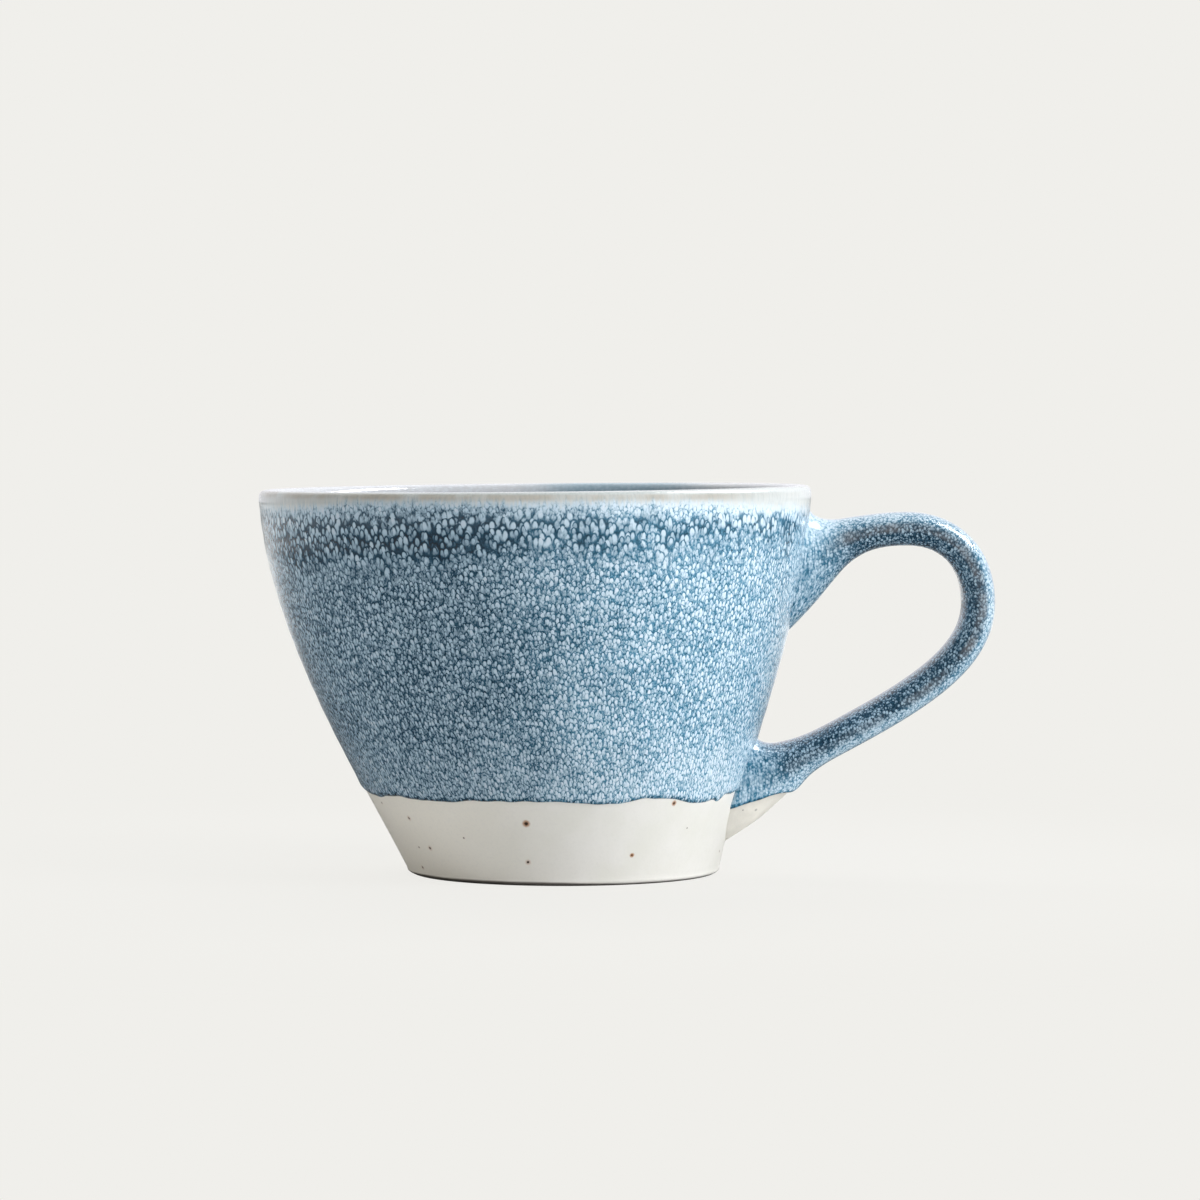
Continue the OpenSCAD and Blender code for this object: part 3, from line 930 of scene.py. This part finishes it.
def pale_finish(context):
    """Pale satin glaze with iron specks."""
    form = context.scene.mug_form
    colours = context.scene.mug_colours
    finish = Finish(bpy.data.materials.new("pale_satin"))
    place = finish.place()
    cloud = finish.blur(place, 9, 3.0, 0.5)
    fine = finish.blur(place, 0.6, 2.0, 0.5)
    # Shades of the pale glaze: greener and greyer at random, and a warmer, brighter one that is
    # painted light
    green, warm, grey = [
        [part * factor for part, factor in zip(colours.pale, factors)]
        for factors in ((0.95, 0.955, 0.93), (1.06, 1.04, 0.98), (0.9, 0.9, 0.9))
    ]
    tone = finish.mix(finish.step(cloud, 0.3, 0.7), green, colours.pale)
    across, _, up = finish.axes(place)
    # Painted warm light on the shaded side: the base is warmer and brighter towards -X
    tone = finish.mix(finish.step(across, 8, -34), tone, warm)
    tone = finish.mix(finish.step(fine, 0.45, 0.75) * 0.25, tone, grey)
    ragged = finish.warped(place, 0.4, 0.22)
    for degrees, height, radius, rusty in SPECKS:
        a, z = math.radians(degrees), height * MM
        r = clay_r(form, z) + form.pale_t
        spot = [part / MM for part in (centre_x(form, z) + r * math.cos(a), r * math.sin(a), z)]
        away = finish.vector("DISTANCE", ragged, spot, output=1)
        halo = finish.step(away, radius * 2.6, radius) * rusty
        core = finish.step(away, radius * 1.15, radius * 0.6)
        tone = finish.mix(core, finish.mix(halo, tone, colours.rust), colours.iron)
    # Painted contact shadow: a dark line at the table, thicker away from the handle
    foot = finish.step(up + finish.step(across, -5, 14) * 0.45 + (cloud - 0.5) * 0.2, 1.1, 0.65)
    tone = finish.mix(foot * 0.9, tone, colours.contact_shadow)
    return finish.done(cloud + fine * 0.1, 0.12 * MM, base_color=tone, roughness=0.38)


def laid_drops(finish, value, place, layers, size, line=0.6, flat=True):
    """Lays drops over a glaze, layer on layer: crisp heads under a thin dark line, fading tails.

    Each layer has a shift of its own, a reach for its drops as a share of a cell, and a shade.
    """
    for shift, reach, shade in layers:
        moved = finish.vector("ADD", place, (shift, shift * 1.7, 0))
        middle, chance, spot = finish.cells(moved, size, "2D" if flat else "3D")
        apart = finish.vector("SUBTRACT", moved, spot)
        up = finish.axes(apart)[1 if flat else 2] * (1 / size)
        away = (middle + up * 0.35) / (chance * 0.5 + 0.7)
        rim = finish.step(away, reach * 1.45, reach) * finish.step(up, -0.4, 0.1)
        value = value * (1 - rim * line)
        body = finish.step(away, reach, reach * 0.4) * finish.step(up, -0.8, -0.15)
        paint = shade * (chance * 0.5 + 0.5) + finish.step(up, -0.4, 0.3) * 0.1
        value = value + (paint - value) * body
    return value


def unrolled(finish, form, x, y, z, squeeze):
    """Coordinates on the cup's wall laid flat, cut open behind the handle."""
    height, lean = form.cup_h / MM, form.lean / MM
    centre = (1 - z / height) ** 2 * lean - lean
    turn = finish.node("ShaderNodeMath", {"operation": "ARCTAN2"}, {0: y, 1: centre - x})
    return finish.node("ShaderNodeCombineXYZ", {}, {0: turn * 45, 1: z * squeeze})


# Dark band under the lip, in millimetres: place of its middle towards the handle and its height
# there, and how far it has sagged at what distance from there
BAND_X, BAND_H, BAND_SAG, BAND_SPAN = 15, 70.3, 3.6, 77

# Heights in millimetres at which a change in the glaze, or the painted reflection and shade at the
# inner rim, begins and is complete
TALL_DROPS = (58, 68)
DROPS_SHRINK = (73.2, 75.8)
PALE_TOP = (73.8, 78.6)
LIP_STREAKS = (76.0, 77.8)
THIN_LIP = (76.0, 78.2)
CLAY_SHOWS, CLAY_ENDS = (77.0, 78.0), (78.9, 78.4)
PALE_FOOT = (34, 20)
PAINTED_RIM_H, POOL_WITHIN = (73.5, 76.5), (79.2, 78.0)

# The same along x, which grows towards the handle
PALER_AND_LIT_SIDE = (-24, 26)
BAND_FADES = (-22, -2)
DROPS_CLIMB = (-40, -8)
FAR_LEFT = (-30, -52)
CLAY_HIDES = (25, 45)

# Cell of the drops in millimetres, and their layers: shift, reach as a share of a cell, shade
FINE_SIZE, FINE_LAYERS = 0.82, [(0, 0.52, 0.52), (31, 0.5, 0.62), (67, 0.42, 0.79)]
TALL_SIZE, TALL_LAYERS = 1.1, [(11, 0.5, 0.56), (43, 0.52, 0.7), (83, 0.46, 0.84)]


def reactive_finish(context):
    """The reactive glaze: pale drops that float on a dark pool, darkest in a band under the lip."""
    form = context.scene.mug_form
    colours = context.scene.mug_colours
    finish = Finish(bpy.data.materials.new("reactive_glaze"))
    plain = finish.place()
    x, y, z = finish.axes(plain)
    inside = finish.attribute("inside")
    wall = 1 - inside
    above = finish.attribute("above_edge") / MM
    cloud = finish.blur(plain, 9, 3.0, 0.55) - 0.5
    wander = finish.blur(finish.place((1, 1, 0.4), (40, 0, 0)), 5, 1.0) - 0.5
    grain = finish.blur(finish.place((1, 1, 0.6)), 0.3, 2.0, 0.65) - 0.5
    streak = finish.blur(finish.place((1, 1, 0.12)), 0.5, 2.0, 0.6)
    run = streak - 0.5

    # The dark band, the part where the drops are tall, and the paler side, which is partly the
    # glaze's own and partly painted light, with painted shade towards -X
    off = (x - BAND_X) / BAND_SPAN
    depth = z - (BAND_H - off * off * BAND_SAG + cloud * 9)
    band = finish.step(depth, -4.5, -0.5) * finish.step(depth, 4.0, 1.2)
    band = band * (1 - finish.step(x, *BAND_FADES) * 0.6)
    high = finish.step(z + wander * 15 - finish.step(x, *DROPS_CLIMB) * 5, *TALL_DROPS)
    high = high * (1 - finish.step(z + wander * 5, *DROPS_SHRINK) * 0.8)
    side = finish.step(x + cloud * 30, *PALER_AND_LIT_SIDE)

    # Drops on the wall and inside: 0 is the darkest pool, and 1 the palest drop
    flat = finish.warped(unrolled(finish, form, x, y, z, 0.58), 0.9, 0.4)
    fine = laid_drops(finish, 0.3 + grain * 0.7, flat, FINE_LAYERS, FINE_SIZE, 0.52)
    fine = fine + grain * 0.85
    flat = finish.warped(unrolled(finish, form, x, y, z, 0.5), 1.6, 0.4)
    squeeze = 1 - band * 0.13
    layers = [(shift, reach * squeeze, shade) for shift, reach, shade in TALL_LAYERS]
    tall = laid_drops(finish, 0.13 + grain * 0.4, flat, layers, TALL_SIZE, 0.7) + grain * 0.25
    deep = finish.step(finish.cells(finish.warped(plain, 1.2, 0.6), 0.9)[0], 0.8, 0.05)
    outside = fine * (1 - high) + tall * high
    value = outside * wall + (0.12 + deep * 0.7) * inside
    value = value + cloud * 0.2 - band * 0.1

    # Paler and drawn out in streaks towards the lip, dark at the lower edge and paler above it
    # The pale band reaches lower towards the handle, a painted reflection of the key lamp there,
    # and lower at the far left too
    lift = z + run * 3.5 + finish.step(x, 20, 52) * 1.8 + finish.step(x, -36, -56) * 1.5
    top = finish.step(lift, *PALE_TOP)
    value = value + top * 0.5 - value * top * 0.25
    drawn = finish.step(lift, *LIP_STREAKS) * wall * 0.8
    value = value + (0.66 + run * 1.3 - value) * drawn
    value = value - finish.step(above, 1.0, 0.1) * 0.35
    low = finish.step(z, *PALE_FOOT) * wall
    # Partly painted light: a little paler on the lit side, and the darker side lifted, most at the
    # far left
    value = value + low * (side * 0.02 + 0.08) + side * wall * 0.04
    value = value + (1 - side) * wall * (0.06 + finish.step(x, *FAR_LEFT) * 0.03)
    pool = finish.step(z, *POOL_WITHIN) * inside
    value = value * (1 - pool * 0.4)

    dark = finish.ramp(value, (0.0, colours.deep_pool), (0.3, colours.deep_ground),
                       (0.72, colours.deep_drop), (1.0, colours.deep_crest))
    light = finish.ramp(value, (0.0, colours.deep_ground), (0.25, colours.light_ground),
                        (0.7, colours.light_drop), (1.0, colours.light_crest))
    tone = finish.mix(side * (1 - high * wall * 0.42), dark, light)

    # The lip: thin glaze, clay that shows through in places, and on the inner edge a painted
    # reflection at the sides and painted shade in the middle
    lip_tone = finish.mix(streak, [part * 0.8 for part in colours.lip], colours.lip)
    tone = finish.mix(finish.step(lift, *THIN_LIP) * wall * 0.75, tone, lip_tone)
    ragged = finish.blur(finish.place((1, 1, 0.5), (9, 4, 2)), 6, 3.0, 0.6)
    broken = finish.step(z + run * 0.8, *CLAY_SHOWS) * finish.step(z, *CLAY_ENDS)
    broken = broken * finish.step(ragged, 0.25, 0.62) * wall
    broken = broken * (1 - finish.step(x, *CLAY_HIDES) * 0.8)
    tone = finish.mix(broken * 0.5, tone, colours.lip_break)
    painted_rim = finish.step(z + run * 2, *PAINTED_RIM_H) * inside
    # Painted shade in the middle of the inner edge, painted reflection at its sides
    thicker = finish.step(x + cloud * 12, -14, 6) * finish.step(x, 34, 20)
    rim_light_and_shade = finish.mix(thicker, colours.rim_reflection, colours.rim_shade)
    tone = finish.mix(painted_rim * 0.8, tone, rim_light_and_shade)
    return finish.done(value, 0.05 * MM, base_color=tone, roughness=0.1, ior=1.6)


# Drops on the strap: their cell in millimetres, and shift, reach and shade of each layer
STRAP_SIZE, STRAP_LAYERS = 0.6, [(0, 0.58, 0.55), (31, 0.58, 0.68), (67, 0.54, 0.82)]


def handle_finish(context):
    """The reactive glaze on the handle, with painted shade inside the loop, painted light outside
    it and a painted reflection along the sides.
    """
    colours = context.scene.mug_colours
    finish = Finish(bpy.data.materials.new("handle_glaze"))
    plain = finish.place()
    z = finish.axes(plain)[2]
    outer = finish.attribute("outer")
    root = finish.attribute("root") / MM
    above = finish.attribute("above_edge") / MM
    cloud = finish.blur(plain, 7, 3.0, 0.55)
    grain = finish.blur(finish.place((1, 1, 0.7)), 0.33, 2.0, 0.6)
    place = finish.warped(finish.place((1, 1, 0.75)), 1.2, 0.4)
    near = finish.step(root + (cloud - 0.5) * 8, 13, 2)
    # Painted light: the outer side of the loop, turned to the key lamp, is paler, and the inner
    # side darker as painted shade
    pale = finish.step(outer + (cloud - 0.5) * 0.5, -0.1, 0.7)
    ground = 0.17 + (grain - 0.5) * 0.5
    value = laid_drops(finish, ground, place, STRAP_LAYERS, STRAP_SIZE, 0.45, False)
    value = value + (grain - 0.5) * 0.5 + (cloud - 0.5) * 0.3 + pale * 0.24 + 0.02
    streak = finish.blur(finish.place((1, 1, 0.2)), 0.6, 2.0, 0.6)
    value = value + (0.56 + pale * 0.12 + (streak - 0.5) * 2.4 - value) * near * 0.6
    value = value - finish.step(above, 1.1, 0.1) * 0.4
    dark = finish.ramp(value, (0.0, colours.deep_pool), (0.3, colours.deep_ground),
                       (0.8, colours.deep_drop))
    light = finish.ramp(value, (0.0, colours.deep_ground), (0.3, colours.light_ground),
                        (0.8, colours.light_drop))
    tone = finish.mix(near * 0.6 + pale * 0.6, dark, light)
    # Painted reflection: a brownish veil along the strap's sides, stronger higher up
    thin = finish.step(outer, -0.25, 0.05) * finish.step(outer, 0.5, 0.2) * (1 - near)
    thin = thin * finish.step(cloud + grain * 0.4, 0.5, 0.85) * (finish.step(z, 26, 48) * 0.7 + 0.3)
    tone = finish.mix(thin * 0.6, tone, colours.speck_and_reflection)
    return finish.done(value, 0.05 * MM, base_color=tone, roughness=0.06, ior=1.56)


# Stage


class MUG_OT_stage(bpy.types.Operator):
    """Sets up the camera, the pale floor and the soft studio light"""

    bl_idname = "mug.stage"
    bl_label = "Studio Stage"

    def execute(self, context):
        scene, stage = context.scene, context.scene.mug_stage
        data = bpy.data.cameras.new("camera")
        data.sensor_width = 36
        data.lens = stage.lens
        data.clip_start, data.clip_end = 0.01, 100
        camera = bpy.data.objects.new("camera", data)
        camera.location = (stage.eye_side, -stage.eye_out, stage.eye_h)
        camera.rotation_euler = (math.pi / 2 - stage.eye_pitch, 0, 0)
        scene.collection.objects.link(camera)
        scene.camera = camera
        scene.view_settings.view_transform = "Standard"

        bm = bmesh.new()
        bmesh.ops.create_grid(bm, x_segments=8, y_segments=8, size=6)
        mesh = bpy.data.meshes.new("floor")
        bm.to_mesh(mesh)
        bm.free()
        floor = bpy.data.objects.new("floor", mesh)
        scene.collection.objects.link(floor)
        floor.data.materials.append(self.floor_finish(stage))
        key = self.lamp("key_lamp", (1.15, -0.55, 0.8), (0.75, 0.75), stage.key, (0.95, 0.98, 1))
        key.visible_glossy = False
        top = self.lamp("top_lamp", (0, 0.85, 0.95), (1.8, 0.3), stage.top, (1, 1, 1))
        top.visible_glossy = False
        strip = self.lamp("strip_lamp", (0.74, 0.34, 0.88), (0.32, 0.6), stage.strip, (1, 1, 1))
        strip.visible_diffuse = False
        self.surroundings(scene, stage)
        return {"FINISHED"}

    def lamp(self, name, place, size, power, tint):
        """A rectangular lamp that looks at the mug."""
        data = bpy.data.lights.new(name, "AREA")
        data.shape = "RECTANGLE"
        data.size, data.size_y = size
        data.energy = power
        data.color = tint
        lamp = bpy.data.objects.new(name, data)
        lamp.location = place
        look = Vector((0, 0, 0.04)) - Vector(place)
        lamp.rotation_euler = look.to_track_quat("-Z", "Y").to_euler()
        bpy.context.scene.collection.objects.link(lamp)
        return lamp

    def floor_finish(self, stage):
        """Plain paper that shows the camera its own colour, with a faint shadow near the mug, and
        shows the gloss a painted shade near the mug.
        """
        finish = Finish(bpy.data.materials.new("floor"))
        camera_ray, glossy_ray = finish.rays()
        far = finish.vector("LENGTH", finish.place(), output=1)
        shown = camera_ray * (0.93 + 0.07 * finish.step(far, 60, 220))
        # Painted shade for the gloss: the paper that the mug reflects is darker near the mug
        shade = 0.79 * (1 - glossy_ray * finish.step(far, 700, 150) * 0.88)
        paper = finish.node("ShaderNodeBsdfDiffuse", {}, {0: shade})
        glow = finish.node("ShaderNodeEmission", {}, {0: (*stage.backdrop, 1), 1: 1.0})
        both = finish.node("ShaderNodeMixShader", {}, {0: shown, 1: paper, 2: glow})
        finish.node("ShaderNodeOutputMaterial", {}, {"Surface": both})
        return finish.owner

    def surroundings(self, scene, stage):
        """Light from all round, with the backdrop for the camera and a room for the gloss."""
        scene.world = bpy.data.worlds.new("surroundings")
        finish = Finish(scene.world)
        camera_ray, glossy_ray = finish.rays()
        way = finish.node("ShaderNodeTexCoord", output="Generated")
        behind = finish.step(finish.axes(way)[1], 0.1, 0.8)
        mirrored = finish.mix(behind, stage.room, stage.mirrored)
        fill = finish.node("ShaderNodeBackground", {}, {0: (*stage.fill_tint, 1), 1: stage.fill})
        gloss = finish.node("ShaderNodeBackground", {}, {0: mirrored, 1: 1.0})
        back = finish.node("ShaderNodeBackground", {}, {0: (*stage.backdrop, 1), 1: 1.0})
        lit = finish.node("ShaderNodeMixShader", {}, {0: glossy_ray, 1: fill, 2: gloss})
        seen = finish.node("ShaderNodeMixShader", {}, {0: camera_ray, 1: lit, 2: back})
        finish.node("ShaderNodeOutputWorld", {}, {"Surface": seen})


class MUG_PT_panel(bpy.types.Panel):
    """Lists the mug's settings and the steps that make it."""

    bl_idname = "MUG_PT_panel"
    bl_label = "Stoneware Mug"
    bl_space_type = "VIEW_3D"
    bl_region_type = "UI"
    bl_category = "Mug"

    def draw(self, context):
        for step in STEPS:
            self.layout.operator(step.bl_idname)
        for name in GROUPS:
            group = getattr(context.scene, name)
            box = self.layout.box()
            for key in group.bl_rna.properties.keys():
                if key not in ("rna_type", "name"):
                    box.prop(group, key)


GROUPS = {
    "mug_form": MugForm,
    "mug_strap": MugHandleForm,
    "mug_colours": MugColours,
    "mug_stage": MugStage,
}
STEPS = [MUG_OT_clay_cup, MUG_OT_glazed_cup, MUG_OT_pale_base, MUG_OT_clay_strap,
         MUG_OT_glazed_handle, MUG_OT_stage]


def register():
    for cls in [*GROUPS.values(), *STEPS, MUG_PT_panel]:
        bpy.utils.register_class(cls)
    for name, cls in GROUPS.items():
        setattr(bpy.types.Scene, name, bpy.props.PointerProperty(type=cls))


def unregister():
    for name in GROUPS:
        delattr(bpy.types.Scene, name)
    for cls in [MUG_PT_panel, *STEPS[::-1], *GROUPS.values()]:
        bpy.utils.unregister_class(cls)


def main():
    register()
    for step in STEPS:
        group, name = step.bl_idname.split(".")
        getattr(getattr(bpy.ops, group), name)()


if __name__ == "__main__":
    main()
